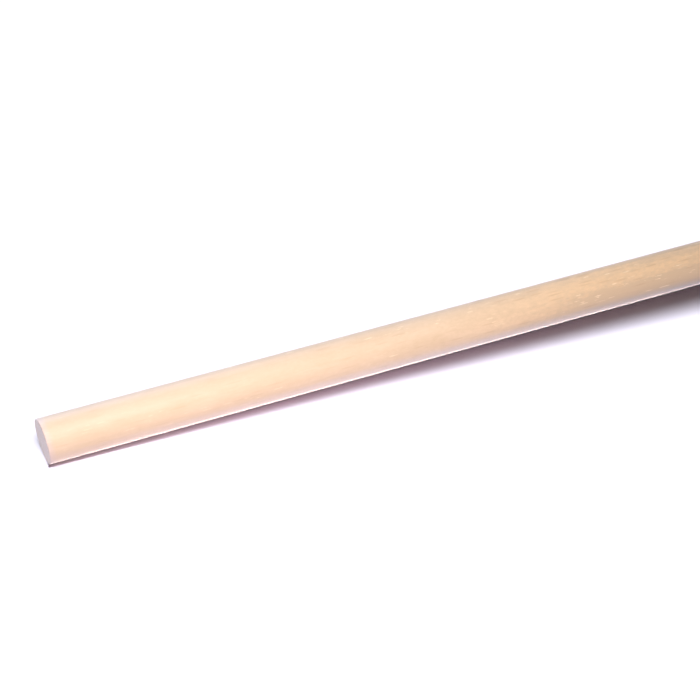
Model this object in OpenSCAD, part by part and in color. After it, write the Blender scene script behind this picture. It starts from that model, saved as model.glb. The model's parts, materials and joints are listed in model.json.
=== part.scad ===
// Wooden dowel rod, half an inch thick and a foot long.
// The rod lies along X, with the middle of its axis at the origin.
// The front end is at -X and the back end at +X.

/* [Rod] */
// Diameter of the rod
rod_d = 12.7; // [6:0.1:30]
// Length of the rod from tip to tip
rod_l = 304.8; // [100:0.1:1220]

/* [Front end] */
// Angle by which the saw cut across the front end is off square
front_lean = 2.4; // [0:0.1:8]
// Place of the long side of the front end, from the top round towards +Y
front_turn = 40; // [0:1:359]

/* [Back end] */
// Angle by which the saw cut across the back end is off square
back_lean = 0; // [0:0.1:8]
// Place of the long side of the back end, from the top round towards +Y
back_turn = 0; // [0:1:359]

/* [Edges] */
// Depth to which the sharp edge of each end is broken
arris = 0.25; // [0.05:0.05:1]

/* [Hidden] */
$fn = 128;
rod_r = rod_d / 2;
// Radius of the flat that the broken edge leaves on a sawn end
flat_r = rod_r - arris;
// Extra length of the stock at each end, for the saw to take off
stock_spare = rod_d;
stock_l = rod_l + 2 * stock_spare;

// The round stock, before it is cut to length
module stock() {
    rotate([0, 90, 0])
        cylinder(h = stock_l, r = rod_r, center = true);
}

// All that one saw cut and its broken edge leave of the stock: a cone whose small
// face is the cut and whose side is the 45 degree arris, both leaning together.
// The long side of the cut reaches x = -rod_l / 2.
module kept_behind_cut(lean, turn) {
    translate([-rod_l / 2 + flat_r * sin(lean), 0, 0])
        rotate([-turn, 0, 0])
            rotate([0, 90 - lean, 0])
                cylinder(h = stock_l, r1 = flat_r, r2 = flat_r + stock_l);
}

// The rod: one piece of straight-grained wood, sawn to length
module dowel_rod() {
    color("wheat")
        intersection() {
            stock();
            kept_behind_cut(front_lean, front_turn);
            mirror([1, 0, 0])
                kept_behind_cut(back_lean, back_turn);
        }
}

dowel_rod();
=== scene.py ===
"""Wooden dowel rod: the finish of one straight length of pale hardwood.

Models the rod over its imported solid, gives it its wood, and lays it on a pale bench
under soft lamps. Sizes are in metres and angles in radians, in the rod's own frame:
the rod lies along X, with its front end at -X and its back end at +X.
"""

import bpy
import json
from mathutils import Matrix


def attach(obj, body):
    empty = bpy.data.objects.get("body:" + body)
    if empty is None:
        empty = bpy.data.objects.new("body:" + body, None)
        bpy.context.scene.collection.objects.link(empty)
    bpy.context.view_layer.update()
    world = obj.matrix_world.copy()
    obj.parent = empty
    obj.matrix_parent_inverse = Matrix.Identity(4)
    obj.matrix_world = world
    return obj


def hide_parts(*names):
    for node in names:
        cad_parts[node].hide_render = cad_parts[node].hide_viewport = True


bl_info = {
    "name": "Wooden dowel rod",
    "version": (1, 0, 0),
    "blender": (4, 5, 0),
    "location": "3D View > Sidebar > Dowel rod",
    "description": "Models a sawn hardwood dowel rod, its wood and the bench it lies on",
    "category": "Object",
}

import json
import math

import bmesh
import bpy
from bpy.props import FloatProperty, FloatVectorProperty, IntProperty, PointerProperty
from mathutils import Euler, Matrix, Vector, noise

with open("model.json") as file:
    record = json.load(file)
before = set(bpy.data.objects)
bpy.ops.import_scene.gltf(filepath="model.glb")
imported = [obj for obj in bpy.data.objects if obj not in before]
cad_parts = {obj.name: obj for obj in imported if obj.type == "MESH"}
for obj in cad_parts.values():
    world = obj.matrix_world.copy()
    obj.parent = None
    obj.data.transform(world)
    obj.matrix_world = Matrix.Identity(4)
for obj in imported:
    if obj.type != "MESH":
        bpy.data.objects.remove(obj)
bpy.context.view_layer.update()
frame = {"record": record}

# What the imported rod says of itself: its thickness, and where its two ends are cut
MOUNTS = {mount["name"]: mount for mount in frame["record"]["mounts"]}
ROD_RADIUS = MOUNTS["shank"]["dims"]["r_mm"] / 1000
FRONT_CUT = MOUNTS["front_end"]
BACK_CUT = MOUNTS["back_end"]
ROD_NODE = "dowel_rod"
ROD_PIECE = "sawn_dowel_rod"
EDGE_WEAR = "edge_wear"  # the mesh attribute that says how worn each place is

# How the rod's surface is worked
FIBRE_LAYERS = (0.9, 2.1, 3)  # smoothness, step and number of the layers of raised fibre
SAW_WANDERS = 300  # how often the saw wanders in a metre
SAW_WANDER = 0.6  # how far it wanders, in saw marks
STROKE_SHARE = 0.6  # share of the saw marks that is stroke; the rest is torn fibre
TORN_FIBRES = 2500  # how often a torn fibre comes in a metre
TORN_DETAIL = (3.0, 0.6)  # detail and roughness of the torn fibres' tone
WEAR_REACH = 8  # how many edge widths the wear reaches in from an edge

# The wood's changes of tone: how often each comes in a metre, its detail and its roughness
DRIFTS = {
    "Blotch": ((100, 240, 240), 3.0, 0.5),
    "Patch": ((38, 150, 150), 1.0, 0.5),
    "Mottle": ((560, 1050, 1050), 3.5, 0.65),
    "Streak": ((30, 800, 800), 3.0, 0.6),
    "Fibre": ((260, 6500, 6500), 2.0, 0.6),
}
WAVERS = (11, 60, 60)  # how often the run of the grain wavers in a metre
WAVER = 0.0012  # how far it wavers, in metres
RAY_DEPTH = 0.012  # how far a ray runs outwards in the tree, in metres
RAY_FILL = 0.5  # how much of its room a ray or a pore fills
PORE_FILL = 0.3

# Where along the rod its look changes, from and to, in metres from its middle
BOLDER = (-0.14, 0.05)  # its figure grows bolder
PAINTED_FALLOFF = (-0.05, 0.02)  # its colour grows warmer: painted warmth standing in for the light's falloff towards the back end
PAINTED_SHADE_ALONG = (-0.03, 0.05)  # its painted shade stripe grows deeper

FIGURE = (0.35, 0.8)  # strength of the figure before and after it grows bolder
PAINTED_SHADE_EDGE = 0.8  # how far out the painted shade stripe starts, as a share of the radius

# How much each part of the grain, and the painted shade stripe, deepens the sanded side, from pale
# wood at 0 to deep wood at 1
PLAIN_DEEPNESS = -0.09  # where none of them shows
DEEPENING = {
    "late growth": 0.12, "year tone": 0.08, "blotch": 0.8, "mottle": 1.75, "streak": 0.2,
    "painted shade stripe": 1.35,
}

# Which rays show, by the chance that each ray has of its own, from and to
SILVER_RAYS = (0.35, 0.6)  # silver below these chances
DARK_RAYS = (0.8, 0.95)  # dark above these chances
FLECKED = (0.48, 0.6)  # tone of the patches in which silver flecks gather, from and to
FLECKING = (0.15, 1.1)  # strength of the silver flecks outside and inside those patches

# How strongly each thing shows on the sanded side and on the sawn ends
SIDE_SHOWS = {"dark rays": 0.4, "pores": 0.17, "wear": 0.7}
END_SHOWS = {"late growth": 0.5, "rays": 0.35, "pores": 0.3, "wear": 0.3, "torn fibre": 0.35}
SIDE_ROUGHNESS = (0.12, 0.48)  # what the fibres add, and the least roughness
END_ROUGHNESS = (0.2, 0.7)
SIDE_BUMP = 1.2e-5  # height of the finest relief
END_BUMP = 3e-5

# The stage. A lamp leans from overhead to -Y and hangs at a distance over a place along the rod
BENCH_REACH = 6.0  # from the middle of the bench to its edge
FLAG_FOOT = -0.56  # how far towards +Y the flag meets the bench at the front end, in radii
MAIN_LAMP_SIZE = 0.12
BACK_LAMP = {"lean": math.radians(-60), "along": -0.12, "distance": 0.4, "size": 0.2}
GLOW_LAMP = {"lean": math.radians(45), "along": -0.105, "distance": 0.11, "size": 0.08}
WASH_STRIP = {"lean": math.radians(166), "along": 0.13, "reach": 0.32}
RIM_STRIP = {"lean": math.radians(206), "along": 0.10, "reach": 0.36}
STRIP_WIDTH = 0.15
STRIP_DISTANCE = 0.4
END_LAMP_SIZE = 0.1
END_LAMP_DISTANCE = 0.4
NEAREST_SEEN = 0.01  # how near the camera still sees


# ---------------------------------------------------------------- settings


def length(name, description, default, low, high):
    """A setting that is a length in metres."""
    return FloatProperty(
        name=name, description=description, default=default, min=low, max=high,
        precision=6, unit="LENGTH",
    )


def angle(name, description, degrees):
    """A setting that is an angle."""
    return FloatProperty(
        name=name, description=description, default=math.radians(degrees), subtype="ANGLE"
    )


def colour(name, description, default):
    """A setting that is a colour."""
    return FloatVectorProperty(
        name=name, description=description, default=default, size=3, min=0, max=1,
        subtype="COLOR",
    )


def share(name, description, default, high=1.0):
    """A setting that is a plain share or strength."""
    return FloatProperty(name=name, description=description, default=default, min=0, max=high)


class DowelRodShape(bpy.types.PropertyGroup):
    """Sizes of the rod's surface"""

    sides: IntProperty(
        name="Sides", description="Faces round the rod", default=192, min=48, max=192
    )
    bands: IntProperty(
        name="Bands", description="Faces along the rod", default=440, min=50, max=480
    )
    inset: length("Inset", "How far the full round lies inside the solid", 5e-6, 0, 1e-4)
    arris: length("Worn edge", "Width of the worn edge of each sawn end", 0.00025, 5e-5, 1e-3)
    arris_steps: IntProperty(
        name="Edge steps", description="Facets across the worn edge", default=3, min=1, max=6
    )
    fibre_depth: length("Fibre depth", "Depth of the sanded grain", 3e-5, 0, 2e-4)
    fibre_width: length("Fibre width", "Width of a raised fibre", 7e-4, 3e-4, 3e-3)
    fibre_length: length("Fibre length", "Length of a raised fibre", 0.025, 0.002, 0.2)
    saw_depth: length("Saw mark depth", "Depth of the saw marks", 5e-5, 0, 3e-4)
    saw_pitch: length("Saw mark pitch", "Distance between saw marks", 9e-4, 5e-4, 3e-3)
    saw_turn: angle("Saw mark turn", "Way the saw crossed the rod, from upright", 25)


class DowelRodWood(bpy.types.PropertyGroup):
    """Colours and grain of the wood, with a painted shade stripe and painted warmth of the light's
    falloff
    """

    pale: colour("Pale wood", "Colour of a year's early growth", (0.665, 0.459, 0.31))
    deep: colour("Deep wood", "Colour of a year's late growth", (0.575, 0.383, 0.238))
    # Painted warmth: towards the back end the sanded side turns to this warmer colour, standing in
    # for the light's falloff there
    painted_falloff_warm: colour("Warm wood", "Colour of early growth towards the back end", (0.78, 0.49, 0.275))
    fleck: colour("Fleck", "Colour of the dark flecks and the open pores", (0.46, 0.27, 0.15))
    silver: colour("Silver fleck", "Colour of the pale flecks", (0.82, 0.60, 0.38))
    sawn: colour("Sawn end", "Colour of the rough end grain", (0.68, 0.55, 0.48))
    worn: colour("Worn edge", "Colour of the side near a sawn end", (0.63, 0.46, 0.415))
    bark_turn: angle("Bark side", "Way round the rod to its bark side, from +Z to +Y", -65)
    # Painted shade: the side this way, mostly -Y, is darkened towards the back end
    painted_shade_turn: angle("Dark side", "Way round the rod to its darker side, from +Z to +Y", -80)
    heart_distance: length("Heart distance", "From the rod to its tree's heart", 0.034, 0.01, 0.3)
    ring_width: length("Ring width", "Width of one year's growth", 0.0021, 5e-4, 0.01)
    fleck_length: length("Fleck length", "Length of a ray fleck", 0.0055, 5e-4, 0.01)
    fleck_spacing: length("Fleck spacing", "Distance from ray to ray", 4.5e-4, 2e-4, 3e-3)
    pore_length: length("Pore length", "Length of an open pore", 0.003, 5e-4, 0.02)
    pore_spacing: length("Pore spacing", "Distance from pore to pore", 2.6e-4, 1e-4, 2e-3)


class DowelRodStage(bpy.types.PropertyGroup):
    """Bench, lamps and camera"""

    bench: colour("Bench", "Colour of the bench top", (0.75, 0.75, 0.83))
    bench_light: share("Bench light", "Strength of the light on the bench", 5.28, 100)
    bench_tint: colour("Bench light tint", "Colour of the light on the bench", (0.96, 0.95, 1.0))
    bench_lean: angle("Bench light lean", "Way the bench light leans from overhead to -Y", 27)
    bench_skew: angle("Bench light skew", "Way the bench light leans from overhead to -X", 7)
    bench_soft: angle("Bench light size", "Width of the bench light as the bench sees it", 29)
    flag_reach: length(
        "Flag reach", "How far the flag reaches from the rod at the back", 0.0356, 0, 0.2
    )
    flag_waist: length(
        "Flag waist", "From the rod's middle to the waist of the flag", -0.06, -0.15, 0.15
    )
    flag_slack: share("Flag slack", "How much narrower the flag is at its waist", 0.12)
    flag_lift: angle("Flag lift", "How far the flag rises from level at the back", 31)
    glow_power: share("Glow power", "Power of the small lamp by the bench in watts", 0.06, 1000)
    glow_tint: colour("Glow tint", "Colour of the small lamp by the bench", (1, 0.7, 0.88))
    main_lean: angle("Main lamp lean", "Way the main lamp leans from overhead to -Y", 27)
    main_along: length("Main lamp place", "From the rod's middle to under the lamp", -0.12, -1, 1)
    main_distance: length("Main lamp distance", "From the main lamp to the rod", 0.30, 0.05, 2)
    main_power: share("Main lamp power", "Power of the main lamp in watts", 1.67, 1000)
    main_tint: colour("Main lamp tint", "Colour of the main lamp", (0.905, 0.947, 1.0))
    back_power: share("Back lamp power", "Power of the low lamp behind in watts", 1.3, 1000)
    back_tint: colour("Back lamp tint", "Colour of the low lamp behind", (0.39, 0.61, 1.0))
    end_power: share("End lamp power", "Power of the lamp off the front end in watts", 0.47, 1000)
    end_tint: colour("End lamp tint", "Colour of the lamp off the front end", (0.74, 0.82, 0.96))
    wash_power: share("Wash power", "Power of the strip lamp below in watts", 2.35, 1000)
    wash_tint: colour("Wash tint", "Colour of the strip lamp below", (0.42, 0.58, 0.88))
    rim_power: share("Rim power", "Power of the strip lamp below and behind in watts", 6.7, 1000)
    rim_tint: colour("Rim tint", "Colour of the strip lamp below and behind", (0.98, 0.81, 0.75))
    room_level: share("Room level", "Strength of the light from all round", 0.006, 10)
    room_tint: colour("Room tint", "Colour of the light from all round", (1, 0.68, 0.78))
    camera_lens: share("Camera lens", "Focal length in millimetres", 92.39, 500)
    camera_turn: angle("Camera turn", "Way the camera looks, from +Y to -X", -23.78)
    camera_dip: angle("Camera dip", "How steeply the camera looks down", 37.99)
    camera_place: FloatVectorProperty(
        name="Camera place", description="Where the camera stands, from the front end",
        default=(-0.07049, -0.36167, 0.31142), size=3, subtype="TRANSLATION",
    )


# ---------------------------------------------------------------- rod: shape


def along_x(distance):
    """The place that far along the rod's axis."""
    return Vector((distance, 0, 0))


def plane_of(cut):
    """A sawn end's centre and its outward direction."""
    return Vector(cut["pos_m"]), Vector(cut["axis"]).normalized()


def open_tube(shape):
    """A tube a little longer than the rod at both ends, finely banded between its two cuts."""
    front, back = FRONT_CUT["pos_m"][0], BACK_CUT["pos_m"][0]
    clear = ROD_RADIUS / 4  # keeps the outer bands clear of a leaning cut
    bm = bmesh.new()
    across = Matrix.Rotation(math.radians(90), 4, "Y")
    bmesh.ops.create_circle(
        bm, cap_ends=False, segments=shape.sides, radius=ROD_RADIUS - shape.inset,
        matrix=Matrix.Translation(along_x(front - clear)) @ across,
    )
    ring = bm.edges[:]
    for step in (2 * clear, back - front - 2 * clear, 2 * clear):
        drawn = bmesh.ops.spin(
            bm, geom=ring, cent=(0, 0, 0), axis=(1, 0, 0), dvec=along_x(step),
            angle=0, steps=1, use_merge=False, use_duplicate=False,
        )
        ring = [g for g in drawn["geom_last"] if isinstance(g, bmesh.types.BMEdge)]
    long_edges = [e for e in bm.edges if e.calc_length() > 4 * clear]
    bmesh.ops.subdivide_edges(bm, edges=long_edges, cuts=shape.bands - 1, use_grid_fill=True)
    return bm


def saw_off(bm, cut):
    """Saws the tube off, closes it with one flat face, and returns the edges of its rim."""
    centre, outward = plane_of(cut)
    sawn = bmesh.ops.bisect_plane(
        bm, geom=bm.verts[:] + bm.edges[:] + bm.faces[:], plane_co=centre,
        plane_no=outward, clear_outer=True,
    )
    rim = [g for g in sawn["geom_cut"] if isinstance(g, bmesh.types.BMEdge)]
    bmesh.ops.edgeloop_fill(bm, edges=rim)
    return rim


def grid_end(bm, cap):
    """Fills a sawn end with an even grid, which can carry saw marks, and returns its faces.

    The grid starts near the top of the end, so that it comes out the same each time.
    """
    near_top = Vector((0, 0.1, 1))
    edges = [loop.edge for loop in cap.loops]
    top = max(cap.loops, key=lambda loop: loop.vert.co.dot(near_top))
    first = list(cap.loops).index(top)
    edges = edges[first:] + edges[:first]
    side = len(edges) // 4
    bmesh.ops.delete(bm, geom=[cap], context="FACES_ONLY")
    rails = edges[:side] + edges[2 * side:3 * side]
    return bmesh.ops.grid_fill(bm, edges=rails, use_smooth=True)["faces"]


def fibre_relief(shape, place):
    """How far the sanded side lies below the full round, from 0 to the fibre depth."""
    spot = Vector((
        place.x / shape.fibre_length, place.y / shape.fibre_width, place.z / shape.fibre_width
    ))
    return shape.fibre_depth * (0.5 + 0.5 * noise.fractal(spot, *FIBRE_LAYERS))


def saw_relief(shape, place):
    """How far the sawn end lies below its plane, from 0 to the saw mark depth."""
    across = place.y * math.cos(shape.saw_turn) + place.z * math.sin(shape.saw_turn)
    wander = noise.noise(place * SAW_WANDERS) * SAW_WANDER
    stroke = 0.5 + 0.5 * math.sin(2 * math.pi * (across / shape.saw_pitch + wander))
    torn = 0.5 + 0.5 * noise.noise(place * TORN_FIBRES)
    return shape.saw_depth * (STROKE_SHARE * stroke + (1 - STROKE_SHARE) * torn)


def wear_at(shape, place):
    """How worn a place is, from 1 on the edge of a sawn end to 0 a few edge widths away."""
    cuts = [plane_of(cut) for cut in (FRONT_CUT, BACK_CUT)]
    from_end = min((centre - place).dot(outward) for centre, outward in cuts)
    from_side = ROD_RADIUS - math.hypot(place.y, place.z)
    return max(0.0, 1.0 - max(from_end, from_side) / (WEAR_REACH * shape.arris))


def weather(bm, shape, ends):
    """Marks how worn each place is, and lowers the side and the ends by their relief."""
    wear = bm.verts.layers.float.new(EDGE_WEAR)
    bm.normal_update()
    outward = {v: v.normal.copy() for v in bm.verts}
    on_ends = set()
    for cut, faces in zip((FRONT_CUT, BACK_CUT), ends):
        sawn = {v for face in faces for v in face.verts}
        outward.update(dict.fromkeys(sawn, plane_of(cut)[1]))
        on_ends |= sawn
    for v in bm.verts:
        v[wear] = wear_at(shape, v.co)
        relief = saw_relief if v in on_ends else fibre_relief
        v.co -= outward[v] * relief(shape, v.co)


def rod_mesh(shape):
    """The whole rod: tube, two sawn ends, worn edges and relief."""
    bm = open_tube(shape)
    rims = saw_off(bm, FRONT_CUT) + saw_off(bm, BACK_CUT)
    bmesh.ops.bevel(
        bm, geom=rims, offset=shape.arris, offset_type="OFFSET", affect="EDGES",
        segments=shape.arris_steps, profile=0.5, material=-1, clamp_overlap=True,
    )
    caps = [face for face in bm.faces if len(face.verts) == shape.sides]
    caps.sort(key=lambda face: face.calc_center_median().x)
    ends = [grid_end(bm, cap) for cap in caps]
    bmesh.ops.recalc_face_normals(bm, faces=bm.faces)
    for face in bm.faces:
        face.smooth = True
    for face in ends[0] + ends[1]:
        face.material_index = 1
    weather(bm, shape, ends)
    mesh = bpy.data.meshes.new(ROD_NODE)
    bm.to_mesh(mesh)
    bm.free()
    return mesh


# ---------------------------------------------------------------- wood: node sheets


class Sheet:
    """A node tree under construction. Each call places a node, and most return its output."""

    def __init__(self, tree):
        self.tree = tree
        self.tree.nodes.clear()
        self.placed = 0

    def node(self, kind, inputs=None, **settings):
        """Places a node and fills its inputs, each with a value or with another node's output."""
        node = self.tree.nodes.new(kind)
        node.location = (260 * (self.placed // 5), -240 * (self.placed % 5))
        self.placed += 1
        for name, value in settings.items():
            setattr(node, name, value)
        for name, value in (inputs or {}).items():
            if isinstance(value, bpy.types.NodeSocket):
                self.tree.links.new(value, node.inputs[name])
            else:
                node.inputs[name].default_value = value
        return node

    def math(self, operation, a, b=0.0, c=0.0):
        inputs = {0: a, 1: b, 2: c}
        return self.node("ShaderNodeMath", inputs, operation=operation).outputs[0]

    def vector(self, x, y, z):
        return self.node("ShaderNodeCombineXYZ", {"X": x, "Y": y, "Z": z}).outputs[0]

    def scaled(self, place, scale):
        inputs = {0: place, 1: scale}
        return self.node("ShaderNodeVectorMath", inputs, operation="MULTIPLY").outputs[0]

    def reach(self, place, way):
        """How far a place lies that way."""
        inputs = {0: place, 1: way}
        node = self.node("ShaderNodeVectorMath", inputs, operation="DOT_PRODUCT")
        return node.outputs["Value"]

    def ease(self, value, low, high, to_low=0.0, to_high=1.0):
        """Eases a value from one range into another."""
        inputs = {1: low, 2: high, 3: to_low, 4: to_high, 0: value}
        node = self.node("ShaderNodeMapRange", inputs, interpolation_type="SMOOTHSTEP")
        return node.outputs["Result"]

    def noise(self, place, detail=2.0, roughness=0.5):
        inputs = {"Vector": place, "Scale": 1.0, "Detail": detail, "Roughness": roughness}
        return self.node("ShaderNodeTexNoise", inputs).outputs["Fac"]

    def mix(self, amount, first, second, blend="MIX"):
        """Mixes two colours, each given as a colour or as another node's output."""
        inputs = {0: amount}
        for place, value in ((6, first), (7, second)):
            linked = isinstance(value, bpy.types.NodeSocket)
            inputs[place] = value if linked else (*value, 1.0)
        return self.node("ShaderNodeMix", inputs, data_type="RGBA", blend_type=blend).outputs[2]

    def group(self, tree, **values):
        """Places a finished group with its own values, and returns its outputs by name."""
        inputs = {name.replace("_", " "): value for name, value in values.items()}
        return self.node("ShaderNodeGroup", inputs, node_tree=tree).outputs


def new_group(name, inputs, outputs):
    """A node group with those inputs and outputs; returns its sheet and its inputs' values."""
    tree = bpy.data.node_groups.new(name, "ShaderNodeTree")
    sheet = Sheet(tree)
    for label, default in inputs.items():
        kind = "NodeSocketVector" if default is None else "NodeSocketFloat"
        socket = tree.interface.new_socket(name=label, in_out="INPUT", socket_type=kind)
        if default is not None:
            socket.default_value = default
    for label in outputs:
        tree.interface.new_socket(name=label, in_out="OUTPUT", socket_type="NodeSocketFloat")
    return sheet, sheet.node("NodeGroupInput").outputs


def log_group():
    """Where a place was in its tree: along the trunk, round it, and out from its heart."""
    inputs = {"Place": None, "Bark side": None, "Heart distance": 0.03, "Waver": 0.001}
    sheet, given = new_group("place_in_log", inputs, ["Along", "Round", "Out"])
    place, bark = given["Place"], given["Bark side"]
    side = sheet.node(
        "ShaderNodeVectorMath", {0: (1.0, 0.0, 0.0), 1: bark}, operation="CROSS_PRODUCT"
    ).outputs[0]
    waver = sheet.math("MULTIPLY", sheet.noise(sheet.scaled(place, WAVERS)), given["Waver"])
    to_bark = sheet.math("ADD", sheet.reach(place, bark), given["Heart distance"])
    to_side = sheet.math("ADD", sheet.reach(place, side), waver)
    squares = [sheet.math("POWER", value, 2.0) for value in (to_bark, to_side)]
    turn = sheet.math("ARCTAN2", to_side, to_bark)
    results = {
        "Along": sheet.reach(place, (1.0, 0.0, 0.0)),
        "Round": sheet.math("MULTIPLY", turn, given["Heart distance"]),
        "Out": sheet.math("ADD", sheet.math("SQRT", sheet.math("ADD", *squares)), waver),
    }
    sheet.node("NodeGroupOutput", results)
    return sheet.tree


def growth_rings_group():
    """Yearly rings round the heart: late growth as a dark edge, and a tone for each year."""
    inputs = {"Along": 0.0, "Out": 0.0, "Ring width": 0.002}
    sheet, given = new_group("growth_rings", inputs, ["Late growth", "Year tone"])
    drifts_along, drifts_yearly = 9.0, 0.7  # how often a ring drifts in a metre and in a year
    late_starts, late_ends = 0.4, 0.93  # as parts of a year
    years = sheet.math("DIVIDE", given["Out"], given["Ring width"])
    drift = sheet.vector(
        sheet.math("MULTIPLY", given["Along"], drifts_along),
        sheet.math("MULTIPLY", years, drifts_yearly), 0.0,
    )
    years = sheet.math("ADD", years, sheet.noise(drift))
    part = sheet.math("FRACT", years)
    growing = sheet.ease(part, late_starts, late_ends)
    late = sheet.math("MULTIPLY", growing, sheet.ease(part, late_ends, 1, 1, 0))
    tone = sheet.node(
        "ShaderNodeTexWhiteNoise", {"W": sheet.math("FLOOR", years)}, noise_dimensions="1D"
    ).outputs["Value"]
    sheet.node("NodeGroupOutput", {"Late growth": late, "Year tone": tone})
    return sheet.tree


def slivers_group():
    """Long thin slivers in the wood, such as rays and pores, each with a chance of its own."""
    inputs = {
        "Along": 0.0, "Round": 0.0, "Out": 0.0, "Length": 0.002, "Width": 0.0006,
        "Depth": 0.01, "Fill": 0.3, "Ragged": 0.5,
    }
    sheet, given = new_group("slivers", inputs, ["Sliver", "Chance"])
    place = sheet.vector(
        sheet.math("DIVIDE", given["Along"], given["Length"]),
        sheet.math("DIVIDE", given["Round"], given["Width"]),
        sheet.math("DIVIDE", given["Out"], given["Depth"]),
    )
    cells = sheet.node("ShaderNodeTexVoronoi", {"Vector": place, "Scale": 1.0}).outputs
    chance = sheet.node("ShaderNodeSeparateColor", {0: cells["Color"]}).outputs["Red"]
    smallest, largest = 0.4, 1.2  # size of a sliver, as a share of the fill
    solid = 0.4  # how much of a sliver lies inside its soft edge
    tear = 0.8  # how far its edge is torn in and out, as a share of its room
    edge = sheet.math("MULTIPLY", given["Fill"], sheet.ease(chance, 0.0, 1.0, smallest, largest))
    inner = sheet.math("MULTIPLY", edge, solid)
    torn = sheet.math("MULTIPLY_ADD", given["Ragged"], tear, -tear / 2)
    reach = sheet.math("ADD", cells["Distance"], torn)
    sliver = sheet.ease(reach, inner, edge, 1.0, 0.0)
    sheet.node("NodeGroupOutput", {"Sliver": sliver, "Chance": chance})
    return sheet.tree


def drift_group():
    """Changes of tone from place to place, from broad blotches down to single fibres."""
    sheet, given = new_group("grain_drift", {"Place": None}, list(DRIFTS))
    results = {
        name: sheet.noise(sheet.scaled(given["Place"], scale), detail, roughness)
        for name, (scale, detail, roughness) in DRIFTS.items()
    }
    sheet.node("NodeGroupOutput", results)
    return sheet.tree


# ---------------------------------------------------------------- wood: materials


class WoodGroups:
    """The node groups that the rod's two materials share."""

    def __init__(self):
        self.log = log_group()
        self.rings = growth_rings_group()
        self.slivers = slivers_group()
        self.drift = drift_group()


def new_material(name):
    """A new material and its sheet."""
    material = bpy.data.materials.new(name)
    material.use_nodes = True
    return material, Sheet(material.node_tree)


def read_wood(sheet, groups, wood):
    """The grain at each place: its rings, rays, pores and drift."""
    place = sheet.node("ShaderNodeTexCoord").outputs["Object"]
    bark = (0.0, math.sin(wood.bark_turn), math.cos(wood.bark_turn))
    log = sheet.group(
        groups.log, Place=place, Bark_side=bark, Heart_distance=wood.heart_distance, Waver=WAVER
    )
    drift = sheet.group(groups.drift, Place=place)
    where = {
        "Along": log["Along"], "Round": log["Round"], "Out": log["Out"], "Ragged": drift["Mottle"],
    }
    return {
        "place": place,
        "along": log["Along"],
        "drift": drift,
        "rings": sheet.group(
            groups.rings, Along=log["Along"], Out=log["Out"], Ring_width=wood.ring_width
        ),
        "rays": sheet.group(
            groups.slivers, **where, Length=wood.fleck_length, Width=wood.fleck_spacing,
            Depth=RAY_DEPTH, Fill=RAY_FILL,
        ),
        "pores": sheet.group(
            groups.slivers, **where, Length=wood.pore_length, Width=wood.pore_spacing,
            Depth=wood.pore_spacing, Fill=PORE_FILL,
        ),
        "wear": sheet.node("ShaderNodeAttribute", attribute_name=EDGE_WEAR).outputs["Fac"],
    }


def finish(sheet, colours, roughness, height, bump_distance):
    """Joins colour, roughness and relief to the wood's shader."""
    bump = sheet.node(
        "ShaderNodeBump", {"Height": height, "Distance": bump_distance, "Strength": 1.0}
    ).outputs["Normal"]
    shader = sheet.node("ShaderNodeBsdfPrincipled", {
        "Base Color": colours, "Roughness": roughness, "Normal": bump, "IOR": 1.5,
        "Specular IOR Level": 0.35, "Sheen Weight": 0.7, "Sheen Roughness": 0.35,
    })
    sheet.node("ShaderNodeOutputMaterial", {"Surface": shader.outputs[0]})


def sanded_side(groups, wood):
    """The planed and sanded round side."""
    material, sheet = new_material("sanded_side")
    grain = read_wood(sheet, groups, wood)
    rings, rays, pores, drift = (grain[k] for k in ("rings", "rays", "pores", "drift"))
    figure = sheet.ease(grain["along"], *BOLDER, *FIGURE)
    mottle = sheet.math("MULTIPLY", sheet.math("SUBTRACT", drift["Mottle"], 0.5), figure)
    # Painted shade: the outer band of the side that faces mostly -Y is darkened towards the back
    # end
    painted_shade_way = (0.0, math.sin(wood.painted_shade_turn), math.cos(wood.painted_shade_turn))
    painted_shade_side = sheet.ease(
        sheet.reach(grain["place"], painted_shade_way), PAINTED_SHADE_EDGE * ROD_RADIUS, ROD_RADIUS
    )
    painted_shade_stripe = sheet.math("MULTIPLY", painted_shade_side, sheet.ease(grain["along"], *PAINTED_SHADE_ALONG))
    parts = {
        "late growth": rings["Late growth"], "year tone": rings["Year tone"],
        "blotch": drift["Blotch"], "mottle": mottle, "streak": drift["Streak"],
        "painted shade stripe": painted_shade_stripe,
    }
    deepness = PLAIN_DEEPNESS
    for name, part in parts.items():
        deepness = sheet.math("MULTIPLY_ADD", part, DEEPENING[name], deepness)
    # Painted warmth: towards the back end the early growth turns warmer, standing in for the
    # light's falloff there
    painted_falloff = sheet.ease(grain["along"], *PAINTED_FALLOFF)
    early = sheet.mix(painted_falloff, tuple(wood.pale), tuple(wood.painted_falloff_warm))
    tone = sheet.mix(deepness, early, tuple(wood.deep))
    cluster = sheet.math("MULTIPLY", sheet.ease(drift["Patch"], *FLECKED, *FLECKING), figure)
    silver = sheet.ease(rays["Chance"], *SILVER_RAYS, 1, 0)
    dark = sheet.ease(rays["Chance"], *DARK_RAYS, 0, SIDE_SHOWS["dark rays"])
    silver_flecks = sheet.math("MULTIPLY", rays["Sliver"], silver)
    dark_flecks = sheet.math("MULTIPLY", rays["Sliver"], dark)
    tone = sheet.mix(sheet.math("MULTIPLY", silver_flecks, cluster), tone, tuple(wood.silver))
    open_pores = sheet.math("MULTIPLY", pores["Sliver"], SIDE_SHOWS["pores"])
    dark_marks = sheet.math("MULTIPLY", sheet.math("ADD", dark_flecks, open_pores), figure)
    tone = sheet.mix(dark_marks, tone, tuple(wood.fleck))
    wear = sheet.math("MULTIPLY", grain["wear"], SIDE_SHOWS["wear"])
    tone = sheet.mix(wear, tone, tuple(wood.worn))
    roughness = sheet.math("MULTIPLY_ADD", drift["Fibre"], *SIDE_ROUGHNESS)
    height = sheet.math("SUBTRACT", drift["Fibre"], pores["Sliver"])
    finish(sheet, tone, roughness, height, SIDE_BUMP)
    return material


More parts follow.
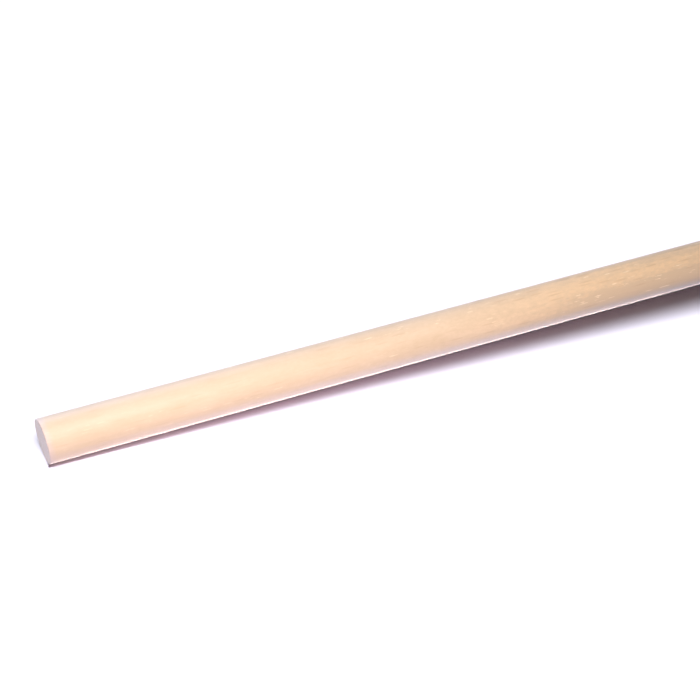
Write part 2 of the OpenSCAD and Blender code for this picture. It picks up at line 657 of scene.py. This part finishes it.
def sawn_end(groups, wood):
    """The rough end grain that the saw leaves."""
    material, sheet = new_material("sawn_end")
    grain = read_wood(sheet, groups, wood)
    torn = sheet.noise(sheet.scaled(grain["place"], (TORN_FIBRES,) * 3), *TORN_DETAIL)
    layers = (
        ("late growth", grain["rings"]["Late growth"], wood.deep),
        ("rays", grain["rays"]["Sliver"], wood.silver),
        ("pores", grain["pores"]["Sliver"], wood.fleck),
        ("wear", grain["wear"], wood.deep),
    )
    tone = tuple(wood.sawn)
    for name, mask, shade in layers:
        tone = sheet.mix(sheet.math("MULTIPLY", mask, END_SHOWS[name]), tone, tuple(shade))
    grit = sheet.mix(torn, (0, 0, 0), (1, 1, 1))
    tone = sheet.mix(END_SHOWS["torn fibre"], tone, grit, "SOFT_LIGHT")
    roughness = sheet.math("MULTIPLY_ADD", torn, *END_ROUGHNESS)
    height = sheet.math("SUBTRACT", torn, grain["pores"]["Sliver"])
    finish(sheet, tone, roughness, height, END_BUMP)
    return material


# ---------------------------------------------------------------- stage


def add_object(name, data):
    """A new object in the scene."""
    made = bpy.data.objects.new(name, data)
    bpy.context.scene.collection.objects.link(made)
    return made


def bench_top(stage):
    """A wide pale plane that the rod lies on."""
    bm = bmesh.new()
    rest = Matrix.Translation((0, 0, -ROD_RADIUS))
    bmesh.ops.create_grid(bm, x_segments=1, y_segments=1, size=BENCH_REACH, matrix=rest)
    mesh = bpy.data.meshes.new("bench_top")
    bm.to_mesh(mesh)
    bm.free()
    material, sheet = new_material("bench_paint")
    shader = sheet.node("ShaderNodeBsdfPrincipled", {
        "Base Color": (*stage.bench, 1.0), "Roughness": 1.0, "Specular IOR Level": 0.0,
    })
    sheet.node("ShaderNodeOutputMaterial", {"Surface": shader.outputs[0]})
    mesh.materials.append(material)
    bench = add_object("bench_top", mesh)
    return bench


def flag_card(stage):
    """A card that shades the bench in front of the rod, more and more towards the back end.

    It hangs from the rod's axis, and its free edge draws in a little at a waist.
    """
    front, back = FRONT_CUT["pos_m"][0], BACK_CUT["pos_m"][0]
    foot = Vector((front, FLAG_FOOT * ROD_RADIUS, -ROD_RADIUS))
    raised = stage.flag_lift
    out = Vector((0, -math.cos(raised), math.sin(raised))) * stage.flag_reach
    bm = bmesh.new()
    bm.edges.new([bm.verts.new(along_x(front)), bm.verts.new(along_x(back))])
    bmesh.ops.subdivide_edges(bm, edges=bm.edges[:], cuts=1)
    waist = (stage.flag_waist - front) / (back - front)
    drawn = bmesh.ops.extrude_edge_only(bm, edges=bm.edges[:])["geom"]
    rim = [g for g in drawn if isinstance(g, bmesh.types.BMVert)]
    at_front, at_waist, at_back = sorted(rim, key=lambda v: v.co.x)
    at_front.co = foot
    at_back.co += out
    at_waist.co = foot.lerp(at_back.co, waist)
    at_waist.co -= out * waist * stage.flag_slack
    mesh = bpy.data.meshes.new("flag_card")
    bm.to_mesh(mesh)
    bm.free()
    card = add_object("flag_card", mesh)
    for rays in ("camera", "diffuse", "glossy", "transmission", "volume_scatter"):
        setattr(card, "visible_" + rays, False)
    return card


def light_only(light, lit, shading):
    """Lets a lamp light only some objects, and only some objects shade it."""
    for role, chosen in (("receiver", lit), ("blocker", shading)):
        group = bpy.data.collections.new(f"{light.name}_{role}s")
        for piece in chosen:
            group.objects.link(piece)
        setattr(light.light_linking, role + "_collection", group)


def aimed(name, kind, lean, tint, **settings):
    """A lamp of one kind that shines back along its lean, the way to it from what it lights."""
    data = bpy.data.lights.new(name, kind)
    data.color = tint
    for setting, value in settings.items():
        setattr(data, setting, value)
    made = add_object(name, data)
    made.rotation_euler = lean.to_track_quat("Z", "Y").to_euler()
    return made


def near_lamp(name, lit, shading, lean, along, distance, size, power, tint):
    """A round lamp that leans from overhead to -Y, over one place along the rod."""
    way = Vector((0, -math.sin(lean), math.cos(lean)))
    lamp = aimed(name, "AREA", way, tint, shape="DISK", size=size, energy=power)
    lamp.location = along_x(along) + way * distance
    lamp.visible_camera = False
    light_only(lamp, lit, shading)


def end_lamp(lit, power, tint):
    """A small lamp in line with the rod, which lights only its front end."""
    lamp = aimed(
        "end_lamp", "AREA", along_x(-1), tint, shape="DISK", size=END_LAMP_SIZE, energy=power
    )
    lamp.location = FRONT_CUT["pos_m"]
    lamp.location.x -= END_LAMP_DISTANCE
    lamp.visible_camera = False
    light_only(lamp, lit, lit)


def strip_lamp(name, lit, lean, along, reach, power, tint):
    """A long lamp below the rod, which only shows as a gleam along the rod's lower edge."""
    way = Vector((0, -math.sin(lean), math.cos(lean)))
    length_way = along_x(1)
    lamp = aimed(
        name, "AREA", way, tint, shape="RECTANGLE", size=reach, size_y=STRIP_WIDTH, energy=power
    )
    turned = Matrix((length_way, way.cross(length_way), way)).transposed()
    lamp.rotation_euler = turned.to_euler()
    lamp.location = along_x(along) + way * STRIP_DISTANCE
    lamp.visible_camera = False
    lamp.visible_diffuse = False
    light_only(lamp, lit, lit)


def room_light(tint, strength):
    """White surroundings to look at, and a dim tinted light from all round."""
    world = bpy.data.worlds.new("room")
    bpy.context.scene.world = world
    world.use_nodes = True
    sheet = Sheet(world.node_tree)
    rays = sheet.node("ShaderNodeLightPath").outputs
    dim = sheet.node("ShaderNodeBackground", {"Color": (*tint, 1.0), "Strength": strength})
    white = sheet.node("ShaderNodeBackground", {"Color": (1, 1, 1, 1), "Strength": 1.0})
    both = sheet.node("ShaderNodeMixShader", {
        0: rays["Is Camera Ray"], 1: dim.outputs[0], 2: white.outputs[0],
    })
    sheet.node("ShaderNodeOutputWorld", {"Surface": both.outputs[0]})


def camera(stage):
    """The camera, above and in front of the front end."""
    lens = bpy.data.cameras.new("camera")
    lens.lens = stage.camera_lens
    lens.clip_start = NEAREST_SEEN
    made = add_object("camera", lens)
    made.location = Vector(FRONT_CUT["pos_m"]) + Vector(stage.camera_place)
    tilt = math.radians(90) - stage.camera_dip
    made.rotation_euler = Euler((tilt, 0, stage.camera_turn))
    bpy.context.scene.camera = made


# ---------------------------------------------------------------- operators and panel


class DOWEL_OT_add_rod(bpy.types.Operator):
    """Model the dowel rod and give it its wood"""

    bl_idname = "dowel.add_rod"
    bl_label = "Add dowel rod"
    bl_options = {"REGISTER", "UNDO"}

    def execute(self, context):
        scene = context.scene
        rod = add_object(ROD_PIECE, rod_mesh(scene.dowel_rod_shape))
        groups = WoodGroups()
        for material in (sanded_side, sawn_end):
            rod.data.materials.append(material(groups, scene.dowel_rod_wood))
        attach(rod, "root")
        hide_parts(ROD_NODE)
        return {"FINISHED"}


class DOWEL_OT_set_stage(bpy.types.Operator):
    """Lay the bench, hang the lamps and place the camera"""

    bl_idname = "dowel.set_stage"
    bl_label = "Set stage"
    bl_options = {"REGISTER", "UNDO"}

    def execute(self, context):
        stage = context.scene.dowel_rod_stage
        camera(stage)
        rod = context.scene.objects[ROD_PIECE]
        bench = bench_top(stage)
        card = flag_card(stage)
        lean = Vector((-math.tan(stage.bench_skew), -math.tan(stage.bench_lean), 1))
        bench_light = aimed(
            "bench_light", "SUN", lean, stage.bench_tint, energy=stage.bench_light,
            angle=stage.bench_soft,
        )
        light_only(bench_light, [bench], [rod, card])
        near_lamp(
            "main_lamp", [rod], [rod], stage.main_lean, stage.main_along, stage.main_distance,
            MAIN_LAMP_SIZE, stage.main_power, stage.main_tint,
        )
        near_lamp(
            "back_lamp", [rod], [rod], **BACK_LAMP, power=stage.back_power,
            tint=stage.back_tint,
        )
        near_lamp(
            "glow_lamp", [bench], [rod], **GLOW_LAMP, power=stage.glow_power,
            tint=stage.glow_tint,
        )
        end_lamp([rod], stage.end_power, stage.end_tint)
        strip_lamp(
            "wash_lamp", [rod], **WASH_STRIP, power=stage.wash_power, tint=stage.wash_tint
        )
        strip_lamp("rim_lamp", [rod], **RIM_STRIP, power=stage.rim_power, tint=stage.rim_tint)
        room_light(stage.room_tint, stage.room_level)
        context.scene.view_settings.view_transform = "Standard"
        return {"FINISHED"}


class DOWEL_PT_panel(bpy.types.Panel):
    """Everything that makes the dowel rod"""

    bl_label = "Dowel rod"
    bl_idname = "DOWEL_PT_panel"
    bl_space_type = "VIEW_3D"
    bl_region_type = "UI"
    bl_category = "Dowel rod"

    def draw(self, context):
        for settings, operator in (
            ("dowel_rod_shape", None), ("dowel_rod_wood", DOWEL_OT_add_rod),
            ("dowel_rod_stage", DOWEL_OT_set_stage),
        ):
            group = getattr(context.scene, settings)
            box = self.layout.box()
            for name in group.__annotations__:
                box.prop(group, name)
            if operator:
                box.operator(operator.bl_idname)


SETTINGS = {
    "dowel_rod_shape": DowelRodShape,
    "dowel_rod_wood": DowelRodWood,
    "dowel_rod_stage": DowelRodStage,
}
CLASSES = (*SETTINGS.values(), DOWEL_OT_add_rod, DOWEL_OT_set_stage, DOWEL_PT_panel)


def register():
    for cls in CLASSES:
        bpy.utils.register_class(cls)
    for name, cls in SETTINGS.items():
        setattr(bpy.types.Scene, name, PointerProperty(type=cls))


def unregister():
    for name in SETTINGS:
        delattr(bpy.types.Scene, name)
    for cls in reversed(CLASSES):
        bpy.utils.unregister_class(cls)


def main():
    register()
    bpy.ops.dowel.add_rod()
    bpy.ops.dowel.set_stage()


if __name__ == "__main__":
    main()
